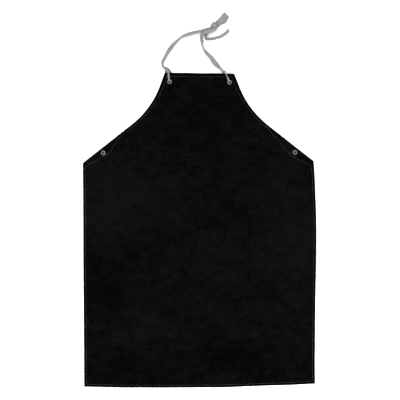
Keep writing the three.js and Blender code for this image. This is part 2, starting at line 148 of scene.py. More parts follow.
# Rises that the eyelets hold level, loose waves, and patches of painted sheen and painted shade, lighter or
# darker as the light falls over the cloth
HELD_LEVEL = (
    Oval(-0.120, 0.596, 0.115, 0.090, NECK_LIFT, 0, 0.5),
    Oval(0.119, 0.594, 0.115, 0.090, NECK_LIFT, 0, 0.5),
    Oval(-0.375, 0.300, 0.210, 0.115, WAIST_LIFT, 38, 0.6),
    Oval(0.367, 0.306, 0.275, 0.115, WAIST_LIFT, 142, 0.6),
)
WAVES = (
    Oval(-0.310, -0.600, 0.190, 0.095, 0.0045, 98),
    Oval(0.095, -0.610, 0.210, 0.105, 0.0055, 84),
    Oval(0.345, -0.590, 0.170, 0.090, 0.0040, 97),
    Oval(-0.450, -0.130, 0.230, 0.100, 0.0045, 91),
    Oval(0.450, -0.070, 0.215, 0.105, 0.0055, 89),
    Oval(-0.040, 0.360, 0.190, 0.085, 0.0035, 68),
)
# Painted sheen where the side lights fall on the cloth, and painted shade where less light falls
PAINTED_SHEEN_PATCHES = (
    Oval(-0.36, 0.10, 0.20, 0.22, 0.9),
    Oval(-0.10, 0.14, 0.16, 0.14, 0.5),
    Oval(0.33, 0.13, 0.20, 0.20, 0.6),
    Oval(0.38, -0.08, 0.16, 0.20, 0.7),
    Oval(0.08, -0.12, 0.30, 0.14, 0.3),
    Oval(-0.18, -0.38, 0.22, 0.12, 0.5),
    Oval(0.24, -0.33, 0.18, 0.10, 0.3),
    Oval(0.02, 0.48, 0.16, 0.18, -0.6),
    Oval(-0.38, -0.22, 0.16, 0.18, -0.5),
    Oval(0.12, -0.50, 0.24, 0.09, -0.7),
    Oval(-0.34, -0.54, 0.20, 0.10, -0.7),
    Oval(0.24, -0.20, 0.12, 0.06, -0.3),
)

# Eyelets
EYELETS = {
    "eyelet_neck_left": Vector((-0.1168, 0.5782)),
    "eyelet_neck_right": Vector((0.1160, 0.5759)),
    "eyelet_waist_left": Vector((-0.3745, 0.3012)),
    "eyelet_waist_right": Vector((0.3706, 0.3032)),
}
EYELET_RADIUS = 0.0088
EYELET_HOLE = 0.0037
EYELET_BARREL = 0.0044
EYELET_CROWN = 0.00105
EYELET_ROLL_RADIUS = 0.0077
EYELET_ROLL = 0.0008
EYELET_SIDES = 64
# Radii over which the painted shade inside each eyelet's hole fades out
THROAT_SHADE_START = EYELET_HOLE + 0.0008
THROAT_SHADE_END = EYELET_HOLE + 0.0020
BORE_RADIUS = 0.0049
BORE_LENGTH = 0.040
BORE_SIDES = 40

# Facings behind the waist corners, and the curved seams that hold them


class WaistCurve(NamedTuple):
    """A rounded bend between two straight runs, measured along the armhole edge and into the panel."""

    down_side: tuple
    bend: tuple
    up_armhole: tuple
    rounding: float


FACINGS = {
    "left": WaistCurve((-0.012, 0.022), (0.101, 0.038), (0.190, 0.005), 0.032),
    "right": WaistCurve((-0.012, 0.022), (0.074, 0.043), (0.240, 0.005), 0.032),
}
SEAMS = {
    "left": WaistCurve((-0.004, 0.0172), (0.103, 0.032), (0.174, 0.0085), 0.016),
    "right": WaistCurve((-0.004, 0.0180), (0.075, 0.039), (0.222, 0.0080), 0.040),
}
FACING_EDGE_INSET = 0.002
FACING_BEVEL = 0.0003
CURVE_POINTS = 48

# Stitches
STITCH_PITCH = 0.0036
STITCH_SHARE = 0.80
THREAD_WIDTH = 0.00042
THREAD_HEIGHT = 0.00030
THREAD_SIDES = 6
BACK_SINK = 0.00012
RAY_TOP = 1.0

# Neck tapes
TAPE_WIDTH = 0.022
TAPE_THICKNESS = 0.0011
TAPE_ACROSS = 15
TAPE_STEPS_PER_ROW = 9
PLUNGE = 0.25
SAME_POINT = 1e-4
TANGENT_STEP = 1e-4
MM_PER_M = 1000.0
TAPE_WAVER = 0.00022
TAPE_WAVER_SCALE = 55.0
TAPE_WRINKLE = 0.00035
TAPE_WRINKLE_PITCH = 0.0085
TAPE_WRINKLE_SLANT = 0.010
TAPE_WRINKLE_SCALE = 40.0
# Number of painted shade bands across the tape
TAPE_SHADE_BANDS = 3
TWILL_PITCH = 0.0011
PICK_PITCH = 0.0006
FLATTEST_BEND = 0.01
SELVEDGE_REACH = 1.9
SELVEDGE_POWER = 8
SELVEDGE_THINNEST = 0.3
FRAY_THREADS = 17
FRAY_LENGTH = 0.0042
FRAY_RADIUS = 0.00028
FRAY_STEPS = 5
FRAY_SIDES = 4
FRAY_ROOT = 0.0006
FRAY_TAPER = 0.55
FRAY_SHORTEST = 0.35
FRAY_DRIFT = 0.35
FRAY_DROP = (-0.3, 0.1)
FRAY_SEED = 7

# Floor, light and sky
FLOOR_HALF = 9.0
FLOOR_HEIGHT = -0.0003
SOFTBOX_SIZE = (2.4, 1.6)
SOFTBOX_TARGET = (0, 0.1, 0)
SOFTBOXES = {
    "softbox_left": ((-2.6, 0.9, 1.7), 40),
    "softbox_right": ((2.6, -0.5, 1.7), 33),
    "softbox_top": ((0.3, 2.9, 1.6), 30),
    "softbox_bottom": ((-0.3, -2.7, 1.6), 52),
}
SKY = ((0.15, (0.80, 0.80, 0.81, 1.0)), (0.85, (0.30, 0.30, 0.305, 1.0)))

# Colours
RUBBER_DEEP = (0.0045, 0.0051, 0.0062, 1)
RUBBER_PALE = (0.0165, 0.0174, 0.0191, 1)
RUBBER_SPECK = (0.044, 0.046, 0.049, 1)
RUBBER_WORN = (0.024, 0.025, 0.027, 1)
THREAD_DARK = (0.155, 0.158, 0.165, 1)
THREAD_PALE = (0.285, 0.290, 0.298, 1)
BRASS_BRIGHT = (0.89, 0.885, 0.735, 1)
BRASS_DULL = (0.67, 0.665, 0.53, 1)
BRASS_SPOT = (0.29, 0.285, 0.205, 1)
# Painted shade inside the eyelet holes
BRASS_THROAT_PAINTED_SHADE = (0.045, 0.042, 0.028, 1)
COTTON_CLEAN = (0.293, 0.303, 0.301, 1)
COTTON_GRIMY = (0.252, 0.261, 0.261, 1)
COTTON_TWILL = (0.170, 0.178, 0.178, 1)
# Painted shade in bands along the tape
COTTON_BAND_SHADE = (0.196, 0.203, 0.203, 1)
# Painted shade at the tape's edges
COTTON_EDGE_SHADE = (0.165, 0.174, 0.174, 1)
FLOOR_GREY = (0.89, 0.89, 0.89, 1)
FLOOR_PALE = (0.92, 0.92, 0.92, 1)

# The tapes' routes, as in the CAD model


class TapeRow(NamedTuple):
    """A section along a tape: place, height of its lowest point, spread, and turn and bend in degrees."""

    x: float
    y: float
    lift: float
    width: float
    roll: float = 0
    curl: float = 0


LEFT_TAPE = [TapeRow(*row) for row in (
    (-0.1300, 0.6290, 0.0026, 0.008),
    (-0.1260, 0.6220, 0.0029, 0.007),
    (-0.1225, 0.6150, 0.0062, 0.006),
    (-0.1209, 0.6080, 0.0070, 0.007),
    (-0.1202, 0.5980, 0.0069, 0.008),
    (-0.1196, 0.5890, 0.0073, 0.0075),
    (-0.1179, 0.5831, 0.0077, 0.006),
    (-0.1168, 0.5797, 0.0064, 0.0044),
    (-0.1168, 0.5790, 0.0040, 0.0044),
    (-0.1168, 0.5798, 0.0016, 0.0044),
    (-0.1169, 0.5854, 0.0004, 0.008),
    (-0.1180, 0.5940, 0.0004, 0.015),
    (-0.1200, 0.6040, 0.0004, 0.021),
    (-0.1223, 0.6130, 0.0004, 0.0255),
    (-0.1250, 0.6205, 0.0004, 0.022),
    (-0.1306, 0.6290, 0.0004, 0.015, 0, 20),
    (-0.1398, 0.6357, 0.0004, 0.011, 15, 160),
    (-0.1434, 0.6454, 0.0004, 0.017, 64, 80),
    (-0.1419, 0.6549, 0.0004, 0.02, 57, 50),
    (-0.1357, 0.6658, 0.0004, 0.022, 59, 40),
    (-0.1288, 0.6792, 0.0004, 0.022, 61, 40),
    (-0.1217, 0.6924, 0.0004, 0.022, 53, 40),
    (-0.1138, 0.7045, 0.0004, 0.022, 50, 40),
    (-0.0999, 0.7212, 0.0004, 0.022, 57, 40),
    (-0.0816, 0.7391, 0.0004, 0.022, 74, 70),
    (-0.0731, 0.7478, 0.0004, 0.022, 99, 195),
    (-0.0620, 0.7538, 0.0004, 0.022, 124, 80),
    (-0.0462, 0.7608, 0.0004, 0.022, 136, 40),
    (-0.0233, 0.7674, 0.0004, 0.021, 136, 45),
    (-0.0037, 0.7731, 0.0005, 0.015, 140, 60),
    (0.0091, 0.7770, 0.0010, 0.011, 158, 70),
    (0.0180, 0.7792, 0.0020, 0.011, 174, 50),
    (0.0280, 0.7812, 0.0024, 0.0115, 180, 30),
    (0.0400, 0.7839, 0.0024, 0.012, 180, 20),
    (0.0526, 0.7882, 0.0024, 0.014, 180, 20),
    (0.0646, 0.7954, 0.0024, 0.019, 180, 20),
    (0.0752, 0.8087, 0.0008, 0.024, 180, 20),
    (0.0922, 0.8204, 0.0004, 0.03, 182, 25),
    (0.1010, 0.8340, 0.0004, 0.028, 184, 20),
    (0.1071, 0.8391, 0.0004, 0.027, 186, 15),
)]
RIGHT_TAPE = [TapeRow(*row) for row in (
    (0.0935, 0.6210, 0.0025, 0.008),
    (0.0982, 0.6155, 0.0050, 0.008),
    (0.1026, 0.6087, 0.0073, 0.006),
    (0.1070, 0.5980, 0.0069, 0.0046),
    (0.1113, 0.5880, 0.0072, 0.0085),
    (0.1140, 0.5817, 0.0075, 0.0065),
    (0.1156, 0.5774, 0.0062, 0.0044),
    (0.1157, 0.5764, 0.0040, 0.0044),
    (0.1154, 0.5771, 0.0016, 0.0044),
    (0.1134, 0.5818, 0.0004, 0.007),
    (0.1075, 0.5940, 0.0004, 0.011),
    (0.1000, 0.6060, 0.0004, 0.013),
    (0.0947, 0.6162, 0.0004, 0.011),
    (0.0865, 0.6260, 0.0004, 0.013, 50, 90),
    (0.0750, 0.6365, 0.0004, 0.02, 36, 75),
    (0.0613, 0.6499, 0.0004, 0.022, 12, 80),
    (0.0526, 0.6617, 0.0004, 0.022, 8, 128),
    (0.0435, 0.6725, 0.0004, 0.022, -10, 160),
    (0.0318, 0.6818, 0.0004, 0.022, -30, 195),
    (0.0223, 0.6917, 0.0004, 0.022, -66, 175),
    (0.0134, 0.7054, 0.0004, 0.022, -84, 50),
    (0.0086, 0.7165, 0.0004, 0.022, -84, 30),
    (0.0080, 0.7280, 0.0004, 0.022, -70, 90),
    (0.0075, 0.7400, 0.0004, 0.022, -30, 235),
    (0.0065, 0.7530, 0.0004, 0.021, -10, 215),
    (0.0120, 0.7640, 0.0022, 0.014, 0, 150),
    (0.0192, 0.7680, 0.0050, 0.012, 0, 60),
    (0.0280, 0.7716, 0.0061, 0.0135, 0, 40),
    (0.0392, 0.7754, 0.0059, 0.0135, 0, 40),
    (0.0500, 0.7790, 0.0058, 0.012, 0, 40),
    (0.0590, 0.7835, 0.0058, 0.012, 0, 30),
    (0.0625, 0.7900, 0.0058, 0.013, 0, 20),
    (0.0590, 0.7960, 0.0058, 0.016, 0, 10),
    (0.0530, 0.8000, 0.0057, 0.019),
    (0.0530, 0.8006, 0.0057, 0.02),
    (0.0494, 0.8026, 0.0042, 0.021),
    (0.0480, 0.8036, 0.0025, 0.021),
    (0.0497, 0.8022, 0.0007, 0.02),
    (0.0550, 0.7905, 0.0003, 0.012),
    (0.0505, 0.7830, 0.0003, 0.011),
    (0.0420, 0.7770, 0.0003, 0.011),
    (0.0315, 0.7708, 0.0003, 0.01),
    (0.0240, 0.7623, 0.0003, 0.0085, 10, 50),
    (0.0234, 0.7538, 0.0003, 0.009, 50, 70),
    (0.0250, 0.7472, 0.0003, 0.011, 52, 60),
    (0.0286, 0.7448, 0.0003, 0.013, 50, 60),
    (0.0360, 0.7444, 0.0003, 0.0145, 50, 60),
    (0.0480, 0.7456, 0.0003, 0.015, 50, 60),
    (0.0642, 0.7488, 0.0003, 0.0155, 51, 60),
    (0.0849, 0.7564, 0.0003, 0.018, 54, 60),
    (0.1002, 0.7665, 0.0003, 0.02, 56, 55),
    (0.1136, 0.7797, 0.0003, 0.022, 62, 35),
)]


# General helpers


def smoothstep(value, low, high):
    share = min(max((value - low) / (high - low), 0.0), 1.0)
    return share * share * (3.0 - 2.0 * share)


def add_object(name, data):
    made = bpy.data.objects.new(name, data)
    bpy.context.scene.collection.objects.link(made)
    return made


def make_piece(name, vertices, faces, material, crease_degrees):
    mesh = bpy.data.meshes.new(name)
    mesh.from_pydata([tuple(vertex) for vertex in vertices], [], faces)
    mesh.validate()
    finish_mesh(mesh, material, crease_degrees)
    return add_object(name, mesh)


def finish_mesh(mesh, material, crease_degrees):
    mesh.materials.clear()
    mesh.materials.append(material)
    mesh.shade_smooth()
    mesh.set_sharp_from_angle(angle=math.radians(crease_degrees))


def add_layer(piece, name, values):
    """Gives each vertex a value that a material can read."""
    layer = piece.data.attributes.new(name, "FLOAT", "POINT")
    layer.data.foreach_set("value", values)


def place_piece(piece, node=None):
    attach(piece, "root")
    if node is not None:
        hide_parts(node)


def join_rings(rings, first_number=0):
    """Faces between neighbouring closed rings of equal length, numbered one ring after another."""
    count = len(rings[0])
    faces = []
    for ring in range(len(rings) - 1):
        for step in range(count):
            here = first_number + ring * count + step
            beside = first_number + ring * count + (step + 1) % count
            faces.append((here, here + count, beside + count, beside))
    return faces


def add_closed_tube(vertices, faces, rings):
    """Adds a tube through rings of equal length, with a face over each end."""
    first = len(vertices)
    count = len(rings[0])
    end = first + count * (len(rings) - 1)
    faces.extend(join_rings(rings, first))
    faces.append(tuple(range(first, first + count)))
    faces.append(tuple(reversed(range(end, end + count))))
    vertices.extend(point for ring in rings for point in ring)


def apply_modifiers(piece):
    depsgraph = bpy.context.evaluated_depsgraph_get()
    shaped = bpy.data.meshes.new_from_object(piece.evaluated_get(depsgraph))
    piece.modifiers.clear()
    piece.data = shaped


def circle(sides):
    """Points of a unit circle, anticlockwise."""
    angles = [math.tau * side / sides for side in range(sides)]
    return [(math.cos(angle), math.sin(angle)) for angle in angles]


def prism(border, low, high, first_number=0):
    """Vertices and faces of an upright solid on a flat border that runs anticlockwise."""
    count = len(border)
    vertices = [(point.x, point.y, height) for height in (low, high) for point in border]
    lower = range(first_number, first_number + count)
    upper = range(first_number + count, first_number + 2 * count)
    faces = [tuple(reversed(lower)), tuple(upper)]
    for number in range(count):
        beside = (number + 1) % count
        faces.append((lower[number], lower[beside], upper[beside], upper[number]))
    return vertices, faces


def cut_bores(piece, places):
    """Cuts a round hole through a piece at each place."""
    vertices = []
    faces = []
    for place in places:
        border = [place + BORE_RADIUS * Vector(spot) for spot in circle(BORE_SIDES)]
        bore_vertices, bore_faces = prism(border, -BORE_LENGTH / 2, BORE_LENGTH / 2, len(vertices))
        vertices.extend(bore_vertices)
        faces.extend(bore_faces)
    cutter_mesh = bpy.data.meshes.new("bores")
    cutter_mesh.from_pydata(vertices, [], faces)
    cutter = add_object("bores", cutter_mesh)
    modifier = piece.modifiers.new("bores", "BOOLEAN")
    modifier.operation = "DIFFERENCE"
    modifier.solver = "MANIFOLD"
    modifier.object = cutter
    apply_modifiers(piece)
    bpy.data.objects.remove(cutter)


def lengths_along(points):
    """The distance of each point from the first one, along the line through them."""
    gaps = [(after - before).length for before, after in zip(points, points[1:])]
    return list(accumulate(gaps, initial=0.0))


def quadratic_curve(start, control, end, count):
    points = []
    for step in range(count + 1):
        share = step / count
        first = start.lerp(control, share)
        points.append(first.lerp(control.lerp(end, share), share))
    return points


# Node materials


class Shader:
    """A material whose nodes are added one by one in front of its own shader."""

    def __init__(self, name, **settings):
        self.material = bpy.data.materials.new(name)
        self.material.use_nodes = True
        self.tree = self.material.node_tree
        self.surface = self.tree.nodes["Principled BSDF"]
        for socket, value in settings.items():
            self.surface.inputs[socket.replace("_", " ")].default_value = value
        self.place = self.add("ShaderNodeTexCoord").outputs["Object"]

    def add(self, kind, inputs=None, **settings):
        made = self.tree.nodes.new(kind)
        for name, value in settings.items():
            setattr(made, name, value)
        for socket, value in (inputs or {}).items():
            self.feed(made.inputs[socket], value)
        return made

    def feed(self, socket, value):
        if isinstance(value, bpy.types.NodeSocket):
            self.tree.links.new(value, socket)
        else:
            socket.default_value = value

    def drive(self, socket, value):
        self.feed(self.surface.inputs[socket], value)

    def noise(self, scale, detail=3.0, roughness=0.55, stretch=None):
        place = self.place
        if stretch is not None:
            place = self.add("ShaderNodeMapping", {"Vector": self.place, "Scale": stretch}).outputs["Vector"]
        inputs = {"Vector": place, "Scale": scale, "Detail": detail, "Roughness": roughness}
        return self.add("ShaderNodeTexNoise", inputs).outputs["Fac"]

    def attribute(self, name):
        return self.add("ShaderNodeAttribute", attribute_name=name).outputs["Fac"]

    def math(self, operation, first, second=0.0, third=0.0):
        inputs = {0: first, 1: second, 2: third}
        return self.add("ShaderNodeMath", inputs, operation=operation).outputs["Value"]

    def spread(self, value, low, high, to_low=0.0, to_high=1.0):
        inputs = {"Value": value, "From Min": low, "From Max": high, "To Min": to_low, "To Max": to_high}
        return self.add("ShaderNodeMapRange", inputs, interpolation_type="SMOOTHSTEP").outputs["Result"]

    def mix(self, share, first, second):
        """Mixes two colours, whose sockets share their names with others and so go by number."""
        inputs = {0: share, 6: first, 7: second}
        return self.add("ShaderNodeMix", inputs, data_type="RGBA").outputs[2]

    def tint(self, colour, other, mask, share):
        """Mixes up to a share of another colour in, where the mask is bright."""
        return self.mix(self.math("MULTIPLY", mask, share), colour, other)

    def wave(self, scale, direction):
        inputs = {"Vector": self.place, "Scale": scale}
        return self.add("ShaderNodeTexWave", inputs, bands_direction=direction).outputs["Fac"]

    def repeat(self, operation, distance, pitch):
        """A sine or cosine that repeats at a pitch."""
        return self.math(operation, self.math("MULTIPLY", distance, math.tau / pitch))

    def bump(self, height, distance, strength, normal=None):
        made = self.add("ShaderNodeBump", {"Height": height, "Distance": distance, "Strength": strength})
        if normal is not None:
            self.feed(made.inputs["Normal"], normal)
        return made.outputs["Normal"]


def rubber_material():
    shader = Shader("rubber_coat", Specular_IOR_Level=0.12)
    broad = shader.noise(3.2)
    drifts = shader.noise(10.0, roughness=0.6, stretch=(1.0, 1.3, 1.0))
    clouds = shader.noise(24.0, detail=4.0, roughness=0.62, stretch=(1.0, 1.5, 1.0))
    mottle = shader.noise(105.0, roughness=0.65, stretch=(1.0, 1.6, 1.0))
    # The shade attribute carries the painted sheen and shade patches and the darker band outside the hem
    # stitches
    tone = shader.math("MULTIPLY", shader.attribute("shade"), 0.36)
    for layer, share in ((broad, 0.6), (drifts, 0.9), (clouds, 1.25), (mottle, 1.5)):
        tone = shader.math("MULTIPLY_ADD", layer, share, tone)
    specks = shader.spread(shader.noise(700.0, detail=1.0, roughness=0.5), 0.68, 0.76)
    rubbed = shader.spread(shader.noise(60.0, detail=4.0), 0.35, 0.75)
    wear = shader.math("MULTIPLY", shader.attribute("wear"), rubbed)
    colour = shader.mix(shader.spread(tone, 1.54, 2.76), RUBBER_DEEP, RUBBER_PALE)
    colour = shader.tint(colour, RUBBER_SPECK, specks, 0.4)
    colour = shader.tint(colour, RUBBER_WORN, wear, 0.2)
    shader.drive("Base Color", colour)
    shader.drive("Roughness", shader.spread(clouds, 0.35, 0.70, 0.44, 0.58))
    weave = shader.math("MULTIPLY", shader.wave(190.0, "X"), shader.wave(190.0, "Y"))
    grain = shader.noise(420.0, detail=2.0, roughness=0.6)
    normal = shader.bump(weave, 0.00006, 0.5)
    normal = shader.bump(grain, 0.00022, 0.6, normal)
    shader.drive("Normal", shader.bump(shader.noise(48.0), 0.0012, 0.35, normal))
    return shader.material


def thread_material():
    shader = Shader("stitch_thread", Roughness=0.75, Specular_IOR_Level=0.25)
    worn = shader.spread(shader.noise(14.0), 0.35, 0.68)
    shader.drive("Base Color", shader.mix(worn, THREAD_DARK, THREAD_PALE))
    shader.drive("Normal", shader.bump(shader.wave(620.0, "DIAGONAL"), 0.00012, 0.6))
    return shader.material


def brass_material():
    shader = Shader("tarnished_brass", Metallic=1.0)
    tarnish = shader.spread(shader.noise(330.0, detail=4.0, roughness=0.62), 0.36, 0.68)
    spots = shader.spread(shader.noise(1100.0, detail=2.0), 0.60, 0.72)
    colour = shader.mix(tarnish, BRASS_BRIGHT, BRASS_DULL)
    colour = shader.tint(colour, BRASS_SPOT, spots, 0.6)
    # Painted shade: the inside of the hole is painted nearly black
    colour = shader.mix(shader.attribute("painted_throat_shade"), colour, BRASS_THROAT_PAINTED_SHADE)
    shader.drive("Base Color", colour)
    shader.drive("Roughness", shader.spread(tarnish, 0.0, 1.0, 0.24, 0.42))
    scratches = shader.noise(900.0, detail=2.0, roughness=0.6, stretch=(1.0, 0.15, 1.0))
    shader.drive("Normal", shader.bump(scratches, 0.00008, 0.35))
    return shader.material


def cotton_material():
    shader = Shader("herringbone_cotton", Roughness=0.92, Specular_IOR_Level=0.15, Sheen_Weight=0.18)
    weave_place = shader.add("ShaderNodeUVMap", uv_map="tape").outputs["UV"]
    axes = shader.add("ShaderNodeSeparateXYZ", {"Vector": weave_place}).outputs
    zigzag = shader.math("PINGPONG", axes["X"], TAPE_WIDTH / 4)
    twill = shader.repeat("SINE", shader.math("ADD", axes["Y"], zigzag), TWILL_PITCH)
    twill = shader.spread(twill, -1.0, 1.0)
    picks = shader.repeat("SINE", axes["Y"], PICK_PITCH)
    grime = shader.spread(shader.noise(38.0, detail=4.0, roughness=0.6), 0.36, 0.68)
    fuzz = shader.noise(1500.0, detail=2.0)
    # Painted shade: the tape is painted darker towards both its edges, where its curled width turns from the
    # light
    from_middle = shader.math("ABSOLUTE", shader.math("SUBTRACT", axes["X"], TAPE_WIDTH / 2))
    painted_edge_shade = shader.spread(from_middle, TAPE_WIDTH * 0.38, TAPE_WIDTH * 0.47)
    # Painted shade: darker bands along the tape, standing in for the shade of its curled width
    painted_band_shade = shader.spread(shader.repeat("COSINE", axes["X"], TAPE_WIDTH / TAPE_SHADE_BANDS), -0.3, 0.8)
    colour = shader.mix(grime, COTTON_CLEAN, COTTON_GRIMY)
    colour = shader.tint(colour, COTTON_TWILL, twill, 0.22)
    colour = shader.tint(colour, COTTON_BAND_SHADE, painted_band_shade, 0.35)
    colour = shader.tint(colour, COTTON_EDGE_SHADE, painted_edge_shade, 0.35)
    shader.drive("Base Color", colour)
    normal = shader.bump(twill, 0.00022, 0.7)
    normal = shader.bump(picks, 0.00010, 0.4, normal)
    shader.drive("Normal", shader.bump(fuzz, 0.00012, 0.5, normal))
    return shader.material


def floor_material():
    shader = Shader("pale_floor", Roughness=0.8, Specular_IOR_Level=0.1)
    shader.drive("Base Color", shader.mix(shader.noise(1.5, detail=2.0), FLOOR_GREY, FLOOR_PALE))
    return shader.material


# Camera


def make_camera():
    camera = bpy.data.cameras.new("camera")
    camera.lens = LENS
    camera.sensor_width = SENSOR
    holder = add_object("camera", camera)
    holder.location = (*VIEW_CENTRE, VIEW_WIDTH * LENS / SENSOR)
    bpy.context.scene.camera = holder


# Neck tapes


def curve_gap(start, end, when_same):
    gap = math.sqrt((end - start).length)
    return gap if gap > SAME_POINT else when_same


def spline_point(points, share):
    """A point of the smooth curve through the points, at a share of the way by their number."""
    spot = share * (len(points) - 1)
    number = min(int(spot), len(points) - 2)
    along = spot - number
    start = points[number]
    end = points[number + 1]
    before = points[number - 1] if number > 0 else 2.0 * start - end
    after = points[number + 2] if number + 2 < len(points) else 2.0 * end - start
    gap = curve_gap(start, end, 1.0)
    gap_before = curve_gap(before, start, gap)
    gap_after = curve_gap(end, after, gap)
    slope_in = (start - before) / gap_before - (end - before) / (gap_before + gap) + (end - start) / gap
    slope_out = (end - start) / gap - (after - start) / (gap + gap_after) + (after - end) / gap_after
    slope_in *= gap
    slope_out *= gap
    square = 3.0 * (end - start) - 2.0 * slope_in - slope_out
    cube = 2.0 * (start - end) + slope_in + slope_out
    return start + along * slope_in + along**2 * square + along**3 * cube


def level_side(tangent, before):
    """The level direction across a route. Where the route plunges it keeps the direction before."""
    level = Vector((-tangent.y, tangent.x, 0.0))
    if level.length < PLUNGE:
        return (before - before.dot(tangent) * tangent).normalized()
    if before is not None and level.dot(before) < 0.0:
        level.negate()
    return level.normalized()


def tape_section(width, roll, curl):
    """Points round one section of tape: a thin strip bent across its width, thicker where it is gathered."""
    thickness = TAPE_THICKNESS * math.sqrt(TAPE_WIDTH / width)
    bend = max(math.radians(curl), FLATTEST_BEND)
    radius = width / bend
    middle = radius * (1.0 - math.sin(bend / 2) / (bend / 2))
    turn = math.radians(roll)
    spots = []
    for face in (-0.5, 0.5):
        for number in range(TAPE_ACROSS):
            share = number / (TAPE_ACROSS - 1) - 0.5
            across = share if face > 0 else -share
            rounding = math.sqrt(1.0 - (SELVEDGE_REACH * abs(share)) ** SELVEDGE_POWER)
            reach = radius - face * thickness * max(rounding, SELVEDGE_THINNEST)
            angle = bend * across
            spot = Vector((reach * math.sin(angle), radius - reach * math.cos(angle) - middle))
            turned = Vector((
                spot.x * math.cos(turn) - spot.y * math.sin(turn),
                spot.x * math.sin(turn) + spot.y * math.cos(turn),
            ))
            spots.append((turned, (across + 0.5) * TAPE_WIDTH))
    return spots


class Section(NamedTuple):
    """A section of tape in place: its ring of points, each one's distance across, and the way it runs."""

    ring: list
    across: list
    tangent: Vector


def tape_sections(rows):
    route = [Vector((row.x, row.y, row.lift)) for row in rows]
    form = [Vector((row.width * MM_PER_M, row.roll, row.curl)) for row in rows]
    steps = (len(rows) - 1) * TAPE_STEPS_PER_ROW
    sections = []
    side = None
    travel = 0.0
    place_before = route[0]
    for step in range(steps + 1):
        share = step / steps
        place = spline_point(route, share)
        ahead = spline_point(route, min(share + TANGENT_STEP, 1.0))
        behind = spline_point(route, max(share - TANGENT_STEP, 0.0))
        tangent = (ahead - behind).normalized()
        side = level_side(tangent, side)
        face = tangent.cross(side)
        width, roll, curl = spline_point(form, share)
        spots = tape_section(width / MM_PER_M, roll, curl)
        travel += (place - place_before).length
        place_before = place
        turn = math.radians(roll)
        outward = math.cos(turn) * face - math.sin(turn) * side
        standing = math.sin(turn) ** 2
        ring = []
        for spot, across in spots:
            point = place + spot.x * side + spot.y * face
            offset = Vector((0.0, 0.0, across / TAPE_WIDTH))
            waver = TAPE_WAVER * noise.noise(TAPE_WAVER_SCALE * point + offset)
            wrinkle = math.sin(math.tau * (travel / TAPE_WRINKLE_PITCH + across / TAPE_WRINKLE_SLANT))
            wrinkle *= TAPE_WRINKLE * standing * noise.noise(Vector((travel * TAPE_WRINKLE_SCALE, 0.0, 0.5)))
            ring.append(point + waver * face + wrinkle * outward)
        lowest = min(point.z for point in ring)
        for point in ring:
            point.z += place.z - lowest
        sections.append(Section(ring, [across for _, across in spots], tangent))
    return sections


def build_tape(name, rows, material):
    sections = tape_sections(rows)
    rings = [section.ring for section in sections]
    path = [sum(ring, Vector()) / len(ring) for ring in rings]
    lengths = lengths_along(path)
    faces = join_rings(rings)
    count = len(rings[0])
    for first, last in ((0, False), ((len(rings) - 1) * count, True)):
        for number in range(TAPE_ACROSS - 1):
            near = first + number
            far = first + count - 1 - number
            faces.append((near, near + 1, far - 1, far) if not last else (near, far, far - 1, near + 1))
    vertices = [point for ring in rings for point in ring]
    tape = make_piece(name + "_cloth", vertices, faces, material, TAPE_CREASE)
    weave = tape.data.uv_layers.new(name="tape")
    for loop in tape.data.loops:
        ring, number = divmod(loop.vertex_index, count)
        weave.data[loop.index].uv = (sections[ring].across[number], lengths[ring])
    place_piece(tape, name)
    return tape, path, lengths[-1], sections[-1]


def build_fray(name, section, material):
    """Loose thread ends at the cut end of a tape."""
    chance = random.Random(FRAY_SEED)
    direction = section.tangent
    side = direction.cross(UP).normalized()
    up = side.cross(direction).normalized()
    vertices = []
    faces = []
    for thread in range(FRAY_THREADS):
        number = round(thread * (TAPE_ACROSS - 1) / (FRAY_THREADS - 1))
        root = (section.ring[number] + section.ring[-1 - number]) / 2
        sway = (chance.uniform(-FRAY_DRIFT, FRAY_DRIFT), chance.uniform(-FRAY_DRIFT, FRAY_DRIFT))
        drift = Vector((*sway, chance.uniform(*FRAY_DROP)))
        length = FRAY_LENGTH * chance.uniform(FRAY_SHORTEST, 1.0)
        rings = []
        for step in range(FRAY_STEPS + 1):
            share = step / FRAY_STEPS
            middle = root + (share * length - FRAY_ROOT) * direction + share * share * length * drift
            middle.z = max(middle.z, FRAY_RADIUS)
            radius = FRAY_RADIUS * (1.0 - FRAY_TAPER * share)
            rings.append([middle + radius * (x * side + y * up) for x, y in circle(FRAY_SIDES)])
        add_closed_tube(vertices, faces, rings)
    fray = make_piece(name, vertices, faces, material, THREAD_CREASE)
    place_piece(fray)
    return fray


# Panel


def cloth_lift(x, y):
    """Height of the cloth's underside: the rises, and a little unevenness where nothing holds it level."""
    lift = sum(rise.effect(x, y) for rise in (*HELD_LEVEL, *WAVES))
    loose = math.prod(smoothstep(rise.reach(x, y), RIPPLE_START, RIPPLE_FULL) for rise in HELD_LEVEL)
    ripple = noise.fractal(RIPPLE_SCALE * Vector((x, y, 0.0)), 1.0, 2.0, RIPPLE_OCTAVES)
    return lift + loose * RIPPLE * max(0.5 + ripple, 0.0)


def painted_sheen_and_shade(x, y):
    """Painted sheen and shade: how much lighter or darker the cloth is painted at a place, as the light falls
    over it.
    """
    return sum(patch.effect(x, y, PATCH_REACH) for patch in PAINTED_SHEEN_PATCHES)


def edge_lines(inset):
    """For each corner, the straight edge from it to the next: start, direction, and way into the panel."""
    corners = list(CORNERS.values())
    lines = []
    for corner, following in zip(corners, corners[1:] + corners[:1]):
        along = Vector((following.x - corner.x, following.y - corner.y)).normalized()
        into = Vector((-along.y, along.x))
        lines.append((Vector((corner.x, corner.y)) + inset * into, along, into))
    return lines


def corner_points(inset):
    lines = edge_lines(inset)
    points = []
    for number, (start, along, _) in enumerate(lines):
        start_before, along_before, _ = lines[number - 1]
        distance = (start - start_before).cross(along) / along_before.cross(along)
        points.append(start_before + distance * along_before)
    return points


